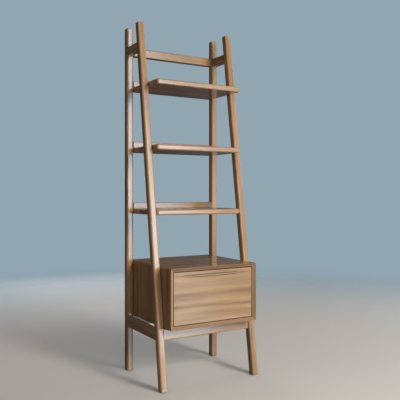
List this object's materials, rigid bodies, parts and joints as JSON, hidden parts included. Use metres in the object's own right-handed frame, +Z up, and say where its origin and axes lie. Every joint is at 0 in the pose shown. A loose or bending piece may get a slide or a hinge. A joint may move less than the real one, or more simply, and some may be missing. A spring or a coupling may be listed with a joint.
{
  "type": "ladder shelf",
  "caption": "Free-standing wooden ladder shelf with leaning front legs, open lipped shelves and a low cabinet with an inset drawer on telescopic runners.",
  "frame": {"origin": "on the floor under the middle of the unit's bounding box", "axes": "+Z up; -Y is the front, the side the drawer opens to; +X is the viewer's right when facing the front"},
  "size_m": [0.59, 0.488, 1.9],
  "materials": {
    "leg_wood": "walnut-brown timber, satin lacquer, grain along the leg",
    "board_wood": "walnut-brown timber, satin lacquer, grain along the board",
    "drawer_front_wood": "lighter streaked walnut, satin lacquer, horizontal grain",
    "drawer_box_wood": "pale unstained timber and plywood, thin matt lacquer",
    "zinc_steel": "bright zinc-plated steel",
    "glide_nylon": "dark matt nylon"
  },
  "bodies": {
    "frame": {"cabinet_back_panel": "drawer_box_wood", "cabinet_bottom_board": "board_wood", "cabinet_screw_front_left": "zinc_steel", "cabinet_screw_front_right": "zinc_steel", "cabinet_screw_rear_left": "zinc_steel", "cabinet_screw_rear_right": "zinc_steel", "cabinet_side_left": "board_wood", "cabinet_side_right": "board_wood", "cabinet_top_board": "board_wood", "foot_glide_front_left": "glide_nylon", "foot_glide_front_right": "glide_nylon", "foot_glide_rear_left": "glide_nylon", "foot_glide_rear_right": "glide_nylon", "front_apron": "board_wood", "leg_front_left": "leg_wood", "leg_front_right": "leg_wood", "leg_rear_left": "leg_wood", "leg_rear_right": "leg_wood", "rear_apron": "board_wood", "runner_cabinet_member_left": "zinc_steel", "runner_cabinet_member_right": "zinc_steel", "shelf_board_lower": "board_wood", "shelf_board_middle": "board_wood", "shelf_board_top": "board_wood", "shelf_lip_lower": "board_wood", "shelf_lip_middle": "board_wood", "shelf_lip_top": "board_wood", "shelf_pin_lower_front_left": "zinc_steel", "shelf_pin_lower_front_right": "zinc_steel", "shelf_pin_lower_rear_left": "zinc_steel", "shelf_pin_lower_rear_right": "zinc_steel", "shelf_pin_middle_front_left": "zinc_steel", "shelf_pin_middle_front_right": "zinc_steel", "shelf_pin_middle_rear_left": "zinc_steel", "shelf_pin_middle_rear_right": "zinc_steel", "shelf_pin_top_front_left": "zinc_steel", "shelf_pin_top_front_right": "zinc_steel", "shelf_pin_top_rear_left": "zinc_steel", "shelf_pin_top_rear_right": "zinc_steel", "side_apron_left": "board_wood", "side_apron_right": "board_wood", "top_back_rail": "leg_wood", "top_side_rail_left": "leg_wood", "top_side_rail_right": "leg_wood"},
    "drawer": {"drawer_bottom_panel": "drawer_box_wood", "drawer_box_back": "drawer_box_wood", "drawer_box_front": "drawer_box_wood", "drawer_front": "drawer_front_wood", "drawer_front_screw_lower_left": "zinc_steel", "drawer_front_screw_lower_right": "zinc_steel", "drawer_front_screw_upper_left": "zinc_steel", "drawer_front_screw_upper_right": "zinc_steel", "drawer_side_left": "drawer_box_wood", "drawer_side_right": "drawer_box_wood", "runner_drawer_member_left": "zinc_steel", "runner_drawer_member_right": "zinc_steel"},
    "runner_middle_left": {"runner_middle_member_left": "zinc_steel"},
    "runner_middle_right": {"runner_middle_member_right": "zinc_steel"}
  },
  "joints": [
    {"name": "drawer_slide", "type": "slide", "parent": "frame", "child": "drawer", "axis": [0, -1, 0], "range_m": [0, 0.38]},
    {"name": "runner_slide_left", "type": "slide", "parent": "frame", "child": "runner_middle_left", "axis": [0, -1, 0], "range_m": [0, 0.19]},
    {"name": "runner_slide_right", "type": "slide", "parent": "frame", "child": "runner_middle_right", "axis": [0, -1, 0], "range_m": [0, 0.19]}
  ],
  "couplings": [
    {"joint": "runner_slide_left", "follows": "drawer_slide", "ratio": 0.5},
    {"joint": "runner_slide_right", "follows": "drawer_slide", "ratio": 0.5}
  ]
}
